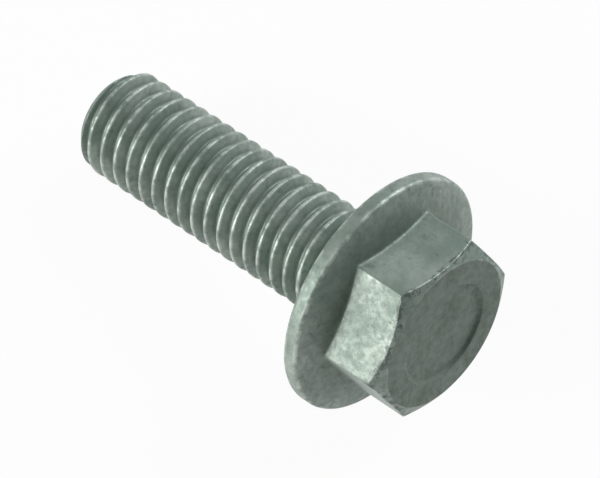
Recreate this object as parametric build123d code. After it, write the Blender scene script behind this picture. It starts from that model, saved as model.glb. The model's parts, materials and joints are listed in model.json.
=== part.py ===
from build123d import *
from math import asin, atan, atan2, ceil, cos, degrees, floor, hypot, radians, sin, tan
import os

# Hexagon flange bolt, M8 x 1.25, in millimetres and degrees.
#
# The bolt is drawn upright about its own axis: bearing face at Z = 0, shank and thread
# towards +Z, flange and head towards -Z, and one corner of the hexagon at +X.
# It is then laid down on the edge of its flange and the tip of its thread, the way it
# comes to rest on a table, with the origin kept at the centre of the bearing face.

# ---- thread -----------------------------------------------------------------------
nominal_diameter = 8.0
pitch = 1.25
crest_allowance = 0.10          # crest diameter below the nominal one, for fit and plating
length = 25.0                   # bearing face to tip
thread_start = 3.0              # bearing face to the first groove at full depth
thread_clocking = 0.0           # angle of the groove's start from a corner of the hexagon
tip_diameter = 6.2              # flat end of the shank
tip_chamfer = 45.0              # angle between the tip's bevel and the axis

# ---- neck between the thread and the flange ---------------------------------------
neck_length = 1.6
neck_bevel = 45.0               # rise from the neck to the crests
underhead_fillet = 0.4

# ---- flange -----------------------------------------------------------------------
flange_diameter = 18.0
rim_thickness = 1.15            # straight edge of the flange
rim_rounding = 0.35
flange_slope = 19.0             # rise of the flange's cone towards the hexagon

# ---- hexagon ----------------------------------------------------------------------
across_flats = 12.0
head_height = 6.6               # bearing face to head top, flange included
crown_diameter = 11.4           # flat circle left on top by the corner bevel
crown_bevel = 30.0              # angle of the corner bevel from the top face
corner_rounding = 0.25          # upright edges of the hexagon
root_fillet = 0.3               # where the flats meet the flange's cone
recess_diameter = 7.84
recess_depth = 0.25
recess_wall = 45.0              # slope of the recess's wall from the top face

# ---- how it lies ------------------------------------------------------------------
roll = -18.8                     # turn about the bolt's own axis before it is laid down

# ---- worked out from the sizes above ----------------------------------------------
flank_half_angle = 30.0
pitch_radius = (nominal_diameter - 0.6495 * pitch) / 2
groove_radius = (nominal_diameter - 1.2269 * pitch) / 2
crest_radius = (nominal_diameter - crest_allowance) / 2
tip_radius = tip_diameter / 2
tip_bevel_length = (crest_radius - tip_radius) / tan(radians(tip_chamfer))
flange_radius = flange_diameter / 2
corner_radius = across_flats / 2 / cos(radians(30))


def groove_half_width(radius):
    """Half the thread groove's width at a distance from the axis, by the 60 degree form."""
    return pitch / 4 + (radius - pitch_radius) * tan(radians(flank_half_angle))


def blank_shank():
    """The shank before rolling: neck, run up to the crests, and bevelled tip."""
    rise = (crest_radius - pitch_radius) / tan(radians(neck_bevel))
    outline = Polyline(
        (0, 0),
        (pitch_radius, 0),
        (pitch_radius, neck_length),
        (crest_radius, neck_length + rise),
        (crest_radius, length - tip_bevel_length),
        (tip_radius, length),
        (0, length),
        close=True,
    )
    return revolve(Plane.XZ * make_face(outline), Axis.Z)


def groove_cutter(height, cone_angle=0.0, direction=(0, 0, 1)):
    """One turn of the thread's groove, starting level with `height`."""
    crest_flat = pitch - 2 * groove_half_width(crest_radius)
    outside = crest_radius + 0.4 * crest_flat
    path = Helix(
        pitch,
        pitch,
        groove_radius,
        center=(0, 0, height),
        direction=direction,
        cone_angle=cone_angle,
    )
    start = path @ 0
    away = Vector(start.X, start.Y, 0).normalized()
    section = Polyline(
        (0, -groove_half_width(groove_radius)),
        (0, groove_half_width(groove_radius)),
        (outside - groove_radius, groove_half_width(outside)),
        (outside - groove_radius, -groove_half_width(outside)),
        close=True,
    )
    plane = Plane(origin=start, x_dir=away, z_dir=away.cross(Vector(0, 0, 1)))
    return sweep(plane * make_face(section), path=path, is_frenet=True)


def run_out_cutter():
    """The last turn towards the head, where the groove rises out of the shank."""
    climb = degrees(atan((crest_radius - groove_radius) / pitch))
    turn = groove_cutter(thread_start, cone_angle=climb, direction=(0, 0, -1))
    return Rot(0, 0, 180) * turn


def threaded_shank():
    """The shank with its right-hand thread, cut one turn at a time."""
    shank = blank_shank() - run_out_cutter()
    turns = ceil((length - thread_start) / pitch + 0.5)
    for turn in range(turns):
        shank -= groove_cutter(thread_start + turn * pitch)
    return Rot(0, 0, thread_clocking) * shank


def flange():
    """The flange: flat bearing face, straight rim and shallow cone."""
    cone_rise = flange_radius * tan(radians(flange_slope))
    outline = Polyline(
        (0, 0),
        (flange_radius, 0),
        (flange_radius, -rim_thickness),
        (0, -rim_thickness - cone_rise),
        close=True,
    )
    profile = make_face(outline)
    rim_corners = profile.vertices().group_by(Axis.X)[-1]
    profile = fillet(rim_corners, rim_rounding)
    return revolve(Plane.XZ * profile, Axis.Z)


def hexagon():
    """The hexagon, its corners bevelled on top and its upright edges rounded."""
    prism = extrude(RegularPolygon(corner_radius, 6), -head_height)
    prism = fillet(prism.edges().filter_by(Axis.Z), corner_rounding)
    bevel_top = (crown_diameter / 2, -head_height)
    bevel_reach = 2 * corner_radius
    bevel_low = (bevel_reach, -head_height
                 + (bevel_reach - crown_diameter / 2) * tan(radians(crown_bevel)))
    envelope = Polyline((0, 0), (bevel_reach, 0), bevel_low, bevel_top, (0, -head_height), close=True)
    return prism & revolve(Plane.XZ * make_face(envelope), Axis.Z)


def recess():
    """The shallow round recess in the head's top face."""
    rim = recess_diameter / 2
    floor = rim - recess_depth / tan(radians(recess_wall))
    outline = Polyline((0, -head_height), (rim, -head_height),
                       (floor, -head_height + recess_depth), (0, -head_height + recess_depth),
                       close=True)
    return revolve(Plane.XZ * make_face(outline), Axis.Z)


def head():
    """The forged head: flange and hexagon joined with a small fillet, and the recess."""
    body = flange() + hexagon()
    foot = -rim_thickness - 0.001
    hip = foot - (flange_radius - across_flats / 2) * tan(radians(flange_slope))
    around = [
        edge
        for edge in body.edges()
        if hip < edge.center().Z < foot and edge.distance_to(Vertex(0, 0, edge.center().Z)) < corner_radius
    ]
    return fillet(around, root_fillet) - recess()


def upright_bolt():
    """The whole bolt about its own axis, with the fillet under the head."""
    bolt = head() + threaded_shank()
    circles = bolt.edges().filter_by(GeomType.CIRCLE)
    neck_ring = [
        edge
        for edge in circles
        if abs(edge.center().Z) < 0.001 and abs(edge.radius - pitch_radius) < 0.001
    ]
    return fillet(neck_ring, underhead_fillet)


def last_crest_below():
    """Height above the bearing face of the thread's outermost crest on the underside."""
    underside = (180 - roll - thread_clocking) / 360
    crest_edge = pitch / 2 - groove_half_width(crest_radius)
    bevel_start = length - tip_bevel_length
    first = thread_start + pitch * (0.5 + underside)
    turns = floor((bevel_start + crest_edge - first) / pitch)
    return min(first + turns * pitch + crest_edge, bevel_start)


def lying_tilt():
    """Dip of the axis when the flange's rounded edge and the last crest share one plane."""
    along = last_crest_below() + rim_rounding
    across = flange_radius - rim_rounding - crest_radius
    return degrees(asin(rim_rounding / hypot(along, across)) + atan2(across, along))


def lying_bolt():
    """The bolt on its side: tip low towards -X, head towards +X."""
    return Rot(0, -90 - lying_tilt(), 0) * Rot(0, 0, roll) * upright_bolt()


os.makedirs("parts", exist_ok=True)
export_step(lying_bolt(), "parts/flange_bolt.step")
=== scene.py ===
import json
from math import asin, atan, cos, pi, radians, sin, sqrt, tan

import bmesh
import bpy
from mathutils import Matrix, Vector


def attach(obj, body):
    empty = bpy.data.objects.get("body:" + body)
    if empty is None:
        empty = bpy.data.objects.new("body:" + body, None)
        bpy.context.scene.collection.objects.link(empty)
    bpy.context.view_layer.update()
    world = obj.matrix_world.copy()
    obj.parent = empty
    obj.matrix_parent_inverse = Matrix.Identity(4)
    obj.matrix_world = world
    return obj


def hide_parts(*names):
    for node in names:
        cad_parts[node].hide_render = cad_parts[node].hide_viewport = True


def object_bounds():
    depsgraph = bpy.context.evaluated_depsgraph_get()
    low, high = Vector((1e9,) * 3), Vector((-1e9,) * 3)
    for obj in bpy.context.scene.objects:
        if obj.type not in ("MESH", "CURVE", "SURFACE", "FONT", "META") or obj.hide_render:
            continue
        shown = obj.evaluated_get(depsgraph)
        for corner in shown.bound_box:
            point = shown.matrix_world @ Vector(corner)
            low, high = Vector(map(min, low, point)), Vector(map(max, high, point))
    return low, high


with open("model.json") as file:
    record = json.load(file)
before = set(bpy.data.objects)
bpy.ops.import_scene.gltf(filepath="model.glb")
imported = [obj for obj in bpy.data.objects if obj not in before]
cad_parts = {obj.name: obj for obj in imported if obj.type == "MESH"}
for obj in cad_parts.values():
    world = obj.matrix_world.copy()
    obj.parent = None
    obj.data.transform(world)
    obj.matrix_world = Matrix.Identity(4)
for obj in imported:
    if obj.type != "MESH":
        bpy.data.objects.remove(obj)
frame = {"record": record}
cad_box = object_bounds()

# A zinc plated M8 flange bolt, lying on a pale floor. The bolt is meshed about its own
# axis in millimetres, bearing face at Z = 0 and thread towards +Z, and is then laid
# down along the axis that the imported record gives.

MM = 0.001

# ---- the bolt's sizes, as in the part's source (mm and degrees) -----------------------
PITCH = 1.25
PITCH_RADIUS = (8.0 - 0.6495 * PITCH) / 2
ROOT_RADIUS = (8.0 - 1.2269 * PITCH) / 2
CREST_RADIUS = 3.95
LENGTH = 25.0
THREAD_START = 3.0
FLANK_SLOPE = 1 / tan(radians(30))
TIP_RADIUS = 3.1
NECK_LENGTH = 1.6
UNDERHEAD_FILLET = 0.4
FLANGE_RADIUS = 9.0 - 0.005     # just inside the CAD box, whose round rim is faceted
RIM_THICKNESS = 1.15
RIM_ROUNDING = 0.35
FLANGE_SLOPE = 19
FLANGE_RISE = tan(radians(FLANGE_SLOPE))
HALF_FLATS = 6.0
HEAD_HEIGHT = 6.6
CROWN_RADIUS = 5.7
CROWN_RISE = tan(radians(30))
ROOT_FILLET_REACH = 0.21         # where the fillet of 0.3 starts, from its corner
RECESS_RADIUS = 3.92
RECESS_DEPTH = 0.25
ROLL = -18.8

# ---- softness that forging, rolling and plating leave (mm) ----------------------------
CORNER_ROUNDING = 0.18
CREST_SOFTNESS = 0.09
ROOT_SOFTNESS = 0.12
BROKEN_EDGE = 0.07
BEVEL_BAND = 0.45
CREST_HIGHLIGHT_FADE = 6.0                  # how fast the painted highlight fades down from the crests
PLAIN_NECK = NECK_LENGTH + 0.3    # no crest below this height

# ---- mesh density ---------------------------------------------------------------------
COLUMNS = 162
ROWS_A_PITCH = 24
CORNER_CROWDING = 0.75
KINK_STEPS = 4
LONGEST_REACH = 0.49              # of a straight, so that two roundings never meet
POLE_RADIUS = 0.02                # ring that closes the recess's middle
TIP_RINGS = (0.02, 0.35, 0.7, 0.93)
# masks, in order: painted highlight, ragged band, painted shade in the grooves, painted shade on the head
MASKS = ("edge_highlight_mask", "bevel_mask", "groove_shade_mask", "painted_shade_mask")

# ---- camera and light, round the bolt (degrees, mm, watts) ----------------------------
CAMERA_AZIMUTH = 41.8
CAMERA_ELEVATION = 62.2
AIM_ALONG = 9.0
AIM_RIGHT = 1.60
AIM_UP = -1.04
LENS = 300
PICTURE_WIDTH_MM = 600 / 14.49
KEY_WAY = (-0.80, -0.05, 0.50)    # right, up and towards the camera, in the picture
KEY_POWER = 0.98
FILL_WAY = (0.65, 0.70, 0.30)
FILL_POWER = 1.0
ROOM = (0.11, 0.135, 0.125, 1)

# ---- colours of the plating, and of painted shade and painted highlight ---------------
ZINC_DEEP = (0.25, 0.305, 0.265, 1)
ZINC_PALE = (0.40, 0.45, 0.405, 1)
ZINC_BLUE = (0.17, 0.225, 0.20, 1)
# colour of the stains, and also of the painted shade in the thread's grooves
STAIN_AND_SHADE = (0.10, 0.14, 0.12, 1)
RAGGED = (0.08, 0.10, 0.09, 1)
# painted highlight on the rounded edges and the thread's crests
EDGE_HIGHLIGHT = (0.66, 0.70, 0.65, 1)
# painted shade on the head's top and on the cone round the hexagon's foot
PAINTED_SHADE = (0.075, 0.10, 0.075, 1)


def soft_min(a, b, softness):
    """The lower of two values, rounded where they cross."""
    near = max(softness - abs(a - b), 0) / softness
    return min(a, b) - near * near * softness / 4


def soft_max(a, b, softness):
    """The higher of two values, rounded where they cross."""
    return -soft_min(-a, -b, softness)


def column_angle(column):
    """Angle of a mesh column; columns crowd together at the hexagon's corners."""
    turn = 2 * pi * column / COLUMNS
    return turn - CORNER_CROWDING * sin(6 * turn) / 6


def blank_radius(z):
    """The shank before rolling: neck, rise to the crests, and tip bevel."""
    rise = PITCH_RADIUS + max(z - NECK_LENGTH, 0)
    return min(rise, CREST_RADIUS, TIP_RADIUS + LENGTH - z)


def groove_radius(z, centre):
    """The thread groove whose middle is at `centre`; it runs out towards the head."""
    run_out = max(THREAD_START - centre, 0) / PITCH
    if run_out > 1:
        return 2 * CREST_RADIUS
    root_half = PITCH / 4 - (PITCH_RADIUS - ROOT_RADIUS) / FLANK_SLOPE
    floor_at = ROOT_RADIUS + run_out * (CREST_RADIUS - ROOT_RADIUS)
    flank = floor_at + (abs(z - centre) - root_half) * FLANK_SLOPE
    return soft_max(floor_at, flank, ROOT_SOFTNESS)


def shank_point(angle, z):
    """(radius, z, painted edge highlight, band, painted groove shade, painted head shade) of the threaded
    shank.
    """
    blank = blank_radius(z)
    lead = THREAD_START + PITCH * (angle % (2 * pi)) / (2 * pi)
    nearest = lead + PITCH * round((z - lead) / PITCH)
    cut = min(groove_radius(z, nearest + step * PITCH) for step in (-1, 0, 1))
    radius = soft_min(blank, cut, CREST_SOFTNESS)
    depth = (CREST_RADIUS - radius) / (CREST_RADIUS - ROOT_RADIUS)
    # painted highlight on the crests, fading down into the grooves
    crest = max(0.0, 1 - CREST_HIGHLIGHT_FADE * depth) if z > PLAIN_NECK else 0.0
    return radius, z, crest, 0.0, max(0.0, min(1.0, depth)), 0.0


def hexagon_radius(angle):
    """Distance from the axis to the hexagon's outline, corners rounded."""
    off_corner = abs((angle + pi / 6) % (pi / 3) - pi / 6)
    centre = (HALF_FLATS - CORNER_ROUNDING) / cos(pi / 6)
    tangent = atan(CORNER_ROUNDING * sin(pi / 6) / (centre + CORNER_ROUNDING * cos(pi / 6)))
    if off_corner < tangent:
        return centre * cos(off_corner) + sqrt(CORNER_ROUNDING**2 - (centre * sin(off_corner))**2)
    return HALF_FLATS / cos(pi / 6 - off_corner)


def cone_z(radius):
    """Height of the flange's cone."""
    return -RIM_THICKNESS - (FLANGE_RADIUS - radius) * FLANGE_RISE


def bevel_z(radius):
    """Height of the cone that turns off the hexagon's corners."""
    return -HEAD_HEIGHT + (radius - CROWN_RADIUS) * CROWN_RISE


def head_kinks(angle):
    """The head's outline, neck to recess: (radius, z, rounding reach, steps, edge gets a painted
    highlight).
    """
    wall = hexagon_radius(angle)
    recess_floor = RECESS_RADIUS - RECESS_DEPTH
    reach = RIM_ROUNDING * tan(radians((90 - FLANGE_SLOPE) / 2))
    return [
        (PITCH_RADIUS, 0.0, UNDERHEAD_FILLET, 3, False),
        (FLANGE_RADIUS, 0.0, RIM_ROUNDING, 6, True),
        (FLANGE_RADIUS, -RIM_THICKNESS, reach, 3, True),
        (wall, cone_z(wall), ROOT_FILLET_REACH, 10, False),
        (wall, bevel_z(wall), BROKEN_EDGE, 14, True),
        (CROWN_RADIUS, -HEAD_HEIGHT, BROKEN_EDGE, 4, True),
        (RECESS_RADIUS, -HEAD_HEIGHT, BROKEN_EDGE / 2, 5, True),
        (recess_floor, -HEAD_HEIGHT + RECESS_DEPTH, BROKEN_EDGE, 3, False),
        (POLE_RADIUS, -HEAD_HEIGHT + RECESS_DEPTH, 0.0, 8, False),
    ]


def head_painted_shade(radius, z):
    """Painted shade on the head: most on its top, some on the cone round the hexagon's foot."""
    if radius < CROWN_RADIUS and z < -HEAD_HEIGHT + 2 * RECESS_DEPTH:
        return 1.0
    if radius > HALF_FLATS and abs(z - cone_z(radius)) < BROKEN_EDGE:
        return max(0.0, 1 - (radius - HALF_FLATS) / (FLANGE_RADIUS - HALF_FLATS))
    return 0.0


def head_column(angle):
    """Points of the head along one column, each kink rounded by a short curve."""
    kinks = head_kinks(angle)
    wall_top = bevel_z(hexagon_radius(angle))
    points = []
    last = Vector((PITCH_RADIUS, UNDERHEAD_FILLET))
    for index, (radius, z, reach, steps, highlighted) in enumerate(kinks):
        corner = Vector((radius, z))
        before = corner + (last - corner).normalized() * min(reach, LONGEST_REACH * (last - corner).length)
        points += [(last.lerp(before, (k + 1) / steps), 0.0) for k in range(steps)]
        if index == len(kinks) - 1:
            break
        onward = Vector(kinks[index + 1][:2]) - corner
        after = corner + onward.normalized() * min(reach, LONGEST_REACH * onward.length)
        for k in range(1, KINK_STEPS + 1):
            t = k / KINK_STEPS
            curve = before.lerp(corner, t).lerp(corner.lerp(after, t), t)
            points.append((curve, sin(pi * t) ** 0.5 if highlighted and k < KINK_STEPS else 0.0))
        last = after
    out = []
    for at, edge in points:
        on_side = at.x > CROWN_RADIUS and at.y < cone_z(at.x) - 0.5
        band = max(0.0, 1 - abs(at.y - wall_top) / BEVEL_BAND) if on_side else 0.0
        out.append((at.x, at.y, edge, band, 0.0, head_painted_shade(at.x, at.y)))
    return out


def bolt_columns():
    """Every column of the bolt from the tip's rim to the middle of the recess."""
    step = PITCH / ROWS_A_PITCH
    rows = int((LENGTH - UNDERHEAD_FILLET) / step)
    heights = [LENGTH - step * row for row in range(rows + 1)] + [UNDERHEAD_FILLET]
    tip = [(TIP_RADIUS * share, LENGTH, 0.0, 0.0, 0.0, 0.0) for share in TIP_RINGS]
    columns = []
    for column in range(COLUMNS):
        angle = column_angle(column)
        shank = [shank_point(angle, z) for z in heights]
        columns.append((angle, tip + shank + head_column(angle)))
    return columns


def bolt_mesh():
    """The bolt as one closed mesh, with its masks of painted highlight, ragged band and painted shade as
    point attributes.
    """
    columns = bolt_columns()
    count = len(columns[0][1])
    points, masks = [], []
    for angle, column in columns:
        for radius, z, *wear in column:
            points.append((radius * cos(angle) * MM, radius * sin(angle) * MM, z * MM))
            masks.append(wear)
    faces = []
    for column in range(COLUMNS):
        here, there = column * count, (column + 1) % COLUMNS * count
        for row in range(count - 1):
            faces.append((here + row, there + row, there + row + 1, here + row + 1))
    faces.append([column * count for column in range(COLUMNS)])
    faces.append([column * count + count - 1 for column in range(COLUMNS)])
    mesh = bpy.data.meshes.new("bolt_mesh")
    mesh.from_pydata(points, [], faces)
    for slot, name in enumerate(MASKS):
        layer = mesh.attributes.new(name, "FLOAT", "POINT")
        layer.data.foreach_set("value", [mask[slot] for mask in masks])
    work = bmesh.new()
    work.from_mesh(mesh)
    bmesh.ops.recalc_face_normals(work, faces=work.faces)
    work.to_mesh(mesh)
    work.free()
    mesh.polygons.foreach_set("use_smooth", [True] * len(mesh.polygons))
    mesh.set_sharp_from_angle(angle=radians(38))
    return mesh


class Graph:
    """A short way to write shader nodes."""

    def __init__(self, tree):
        self.tree = tree
        tree.nodes.clear()

    def add(self, kind, settings=None, **inputs):
        node = self.tree.nodes.new(kind)
        for name, value in (settings or {}).items():
            setattr(node, name, value)
        for name, value in inputs.items():
            self.feed(node.inputs[name.replace("_", " ")], value)
        return node

    def feed(self, socket, value):
        if isinstance(value, bpy.types.NodeSocket):
            self.tree.links.new(value, socket)
        else:
            socket.default_value = value

    def math(self, operation, *values):
        node = self.add("ShaderNodeMath", {"operation": operation, "use_clamp": True})
        for socket, value in zip(node.inputs, values):
            self.feed(socket, value)
        return node.outputs[0]

    def mix(self, factor, a, b):
        node = self.add("ShaderNodeMix", {"data_type": "RGBA"})
        for socket, value in zip((node.inputs[0], node.inputs[6], node.inputs[7]), (factor, a, b)):
            self.feed(socket, value)
        return node.outputs[2]

    def noise(self, where, scale, detail=4.0, roughness=0.55):
        return self.add("ShaderNodeTexNoise", Vector=where, Scale=scale, Detail=detail,
                        Roughness=roughness).outputs["Fac"]

    def steps(self, value, low, high):
        node = self.add("ShaderNodeMapRange", {"interpolation_type": "SMOOTHSTEP"})
        for name, number in (("Value", value), ("From Min", low), ("From Max", high)):
            self.feed(node.inputs[name], number)
        return node.outputs[0]

    def mask(self, name):
        return self.add("ShaderNodeAttribute", {"attribute_name": name}).outputs["Fac"]


def zinc_plate():
    """Dull greenish zinc: mottled, with painted shade in the thread's grooves and a painted highlight on
    its edges and crests.
    """
    material = bpy.data.materials.new("zinc_plate")
    material.use_nodes = True
    g = Graph(material.node_tree)
    place = g.add("ShaderNodeTexCoord").outputs["Object"]
    mm = g.add("ShaderNodeVectorMath", {"operation": "SCALE"})
    g.feed(mm.inputs[0], place)
    mm.inputs["Scale"].default_value = 1 / MM
    where = mm.outputs[0]
    clouds = g.steps(g.noise(where, 0.35, 5.0), 0.35, 0.68)
    mottle = g.steps(g.noise(where, 1.9, 6.0, 0.7), 0.34, 0.70)
    grain = g.noise(where, 9.0, 3.0, 0.6)
    stain = g.steps(g.noise(where, 0.8, 7.0, 0.72), 0.56, 0.66)
    # painted highlight along the rounded edges and the thread's crests, broken up by noise
    edge = g.math("MULTIPLY", g.mask("edge_highlight_mask"), g.steps(g.noise(where, 1.4), 0.42, 0.62))
    ragged = g.math("MULTIPLY", g.mask("bevel_mask"), g.steps(g.noise(where, 2.0, 6.0, 0.7), 0.40, 0.62))
    band = g.steps(ragged, 0.22, 0.5)
    # painted shade in the thread's grooves
    groove_shade = g.steps(g.mask("groove_shade_mask"), 0.45, 0.98)

    colour = g.mix(clouds, ZINC_DEEP, ZINC_PALE)
    colour = g.mix(g.math("MULTIPLY", mottle, 0.5), colour, ZINC_BLUE)
    colour = g.mix(g.math("MULTIPLY", stain, 0.5), colour, STAIN_AND_SHADE)
    colour = g.mix(g.math("MULTIPLY", groove_shade, 0.6), colour, STAIN_AND_SHADE)
    colour = g.mix(g.math("MULTIPLY", band, 0.7), colour, RAGGED)
    colour = g.mix(g.math("MULTIPLY", edge, 0.6), colour, EDGE_HIGHLIGHT)
    # painted shade on the head's top and on the cone round the hexagon's foot
    head_shade_paint = g.math("MULTIPLY", g.mask("painted_shade_mask"), g.math("ADD", 0.45, g.math("MULTIPLY", clouds, 0.35)))
    colour = g.mix(head_shade_paint, colour, PAINTED_SHADE)
    rough = g.math("ADD", 0.40, g.math("MULTIPLY", mottle, 0.16))
    rough = g.math("ADD", rough, g.math("MULTIPLY", grain, 0.10))
    height = g.math("ADD", g.math("MULTIPLY", grain, 0.4), g.math("MULTIPLY", mottle, 0.6))
    bump = g.add("ShaderNodeBump", Height=height, Strength=0.6, Distance=0.03 * MM)
    shader = g.add("ShaderNodeBsdfPrincipled", Base_Color=colour, Roughness=rough,
                   Metallic=0.45, Normal=bump.outputs[0])
    g.add("ShaderNodeOutputMaterial", Surface=shader.outputs[0])
    return material


def floor_material():
    """Plain white floor to camera and reflections, which still takes the bolt's shadow."""
    material = bpy.data.materials.new("floor_white")
    material.use_nodes = True
    g = Graph(material.node_tree)
    path = g.add("ShaderNodeLightPath")
    seen = g.math("MAXIMUM", path.outputs["Is Camera Ray"], path.outputs["Is Glossy Ray"])
    seen = g.math("MAXIMUM", seen, path.outputs["Is Transmission Ray"])
    lit = g.add("ShaderNodeBsdfDiffuse", Color=(0.8, 0.8, 0.8, 1))
    white = g.add("ShaderNodeEmission", Color=(1, 1, 1, 1), Strength=1.0)
    both = g.add("ShaderNodeMixShader", Fac=g.math("MULTIPLY", seen, 0.94))
    g.tree.links.new(lit.outputs[0], both.inputs[1])
    g.tree.links.new(white.outputs[0], both.inputs[2])
    g.add("ShaderNodeOutputMaterial", Surface=both.outputs[0])
    return material


def lay_down(bolt, axis):
    """Turns the upright bolt to lie along the record's axis."""
    dip = asin(-axis[2])
    bolt.data.transform(Matrix.Rotation(-pi / 2 - dip, 4, "Y") @ Matrix.Rotation(radians(ROLL), 4, "Z"))


def make_bolt(axis):
    """The visible bolt, riding on the CAD body in place of its node."""
    bolt = bpy.data.objects.new("bolt", bolt_mesh())
    bpy.context.scene.collection.objects.link(bolt)
    lay_down(bolt, axis)
    bolt.data.materials.append(zinc_plate())
    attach(bolt, "root")
    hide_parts("flange_bolt")


def make_floor():
    """A wide floor at the bolt's lowest point."""
    bpy.ops.mesh.primitive_plane_add(size=4, location=(0, 0, cad_box[0][2]))
    floor = bpy.context.object
    floor.name = "floor"
    floor.data.materials.append(floor_material())


def camera_axes():
    """(towards the camera, picture right, picture up)."""
    azimuth, elevation = radians(CAMERA_AZIMUTH), radians(CAMERA_ELEVATION)
    towards = Vector((sin(azimuth) * cos(elevation), -cos(azimuth) * cos(elevation), sin(elevation)))
    right = Vector((0, 0, 1)).cross(towards).normalized()
    return towards, right, towards.cross(right)


def aim_point(axis):
    """The middle of the picture."""
    _, right, up = camera_axes()
    return (Vector(axis) * AIM_ALONG + right * AIM_RIGHT + up * AIM_UP) * MM


def make_camera(axis):
    """A long lens, so that the bolt is seen almost without perspective."""
    towards, right, up = camera_axes()
    data = bpy.data.cameras.new("camera")
    data.lens = LENS
    camera = bpy.data.objects.new("camera", data)
    bpy.context.scene.collection.objects.link(camera)
    distance = PICTURE_WIDTH_MM * LENS / data.sensor_width * MM
    turn = Matrix((right, up, towards)).transposed().to_4x4()
    camera.matrix_world = Matrix.Translation(aim_point(axis) + towards * distance) @ turn
    bpy.context.scene.camera = camera


def make_lamp(name, axis, direction, distance, size, power, colour):
    """A soft lamp placed in picture directions: (right, up, towards the camera)."""
    towards, right, up = camera_axes()
    way = (right * direction[0] + up * direction[1] + towards * direction[2]).normalized()
    data = bpy.data.lights.new(name, "AREA")
    data.size = size
    data.energy = power
    data.color = colour
    lamp = bpy.data.objects.new(name, data)
    bpy.context.scene.collection.objects.link(lamp)
    lamp.location = aim_point(axis) + way * distance
    lamp.rotation_euler = way.to_track_quat("Z", "Y").to_euler()


def make_light(axis):
    """Key from the left, a soft light from behind at the upper right, and a dim room."""
    make_lamp("key", axis, KEY_WAY, 0.32, 0.14, KEY_POWER, (1.0, 1.0, 0.98))
    make_lamp("fill", axis, FILL_WAY, 0.36, 0.20, FILL_POWER, (0.95, 0.98, 1.0))
    world = bpy.data.worlds.new("room")
    world.use_nodes = True
    world.node_tree.nodes["Background"].inputs["Color"].default_value = ROOM
    bpy.context.scene.world = world


mounts = frame["record"]["mounts"]
bolt_axis = next(mount["axis"] for mount in mounts if mount["name"] == "bearing_face")

bpy.context.scene.view_settings.view_transform = "Standard"
make_bolt(bolt_axis)
make_floor()
make_camera(bolt_axis)
make_light(bolt_axis)
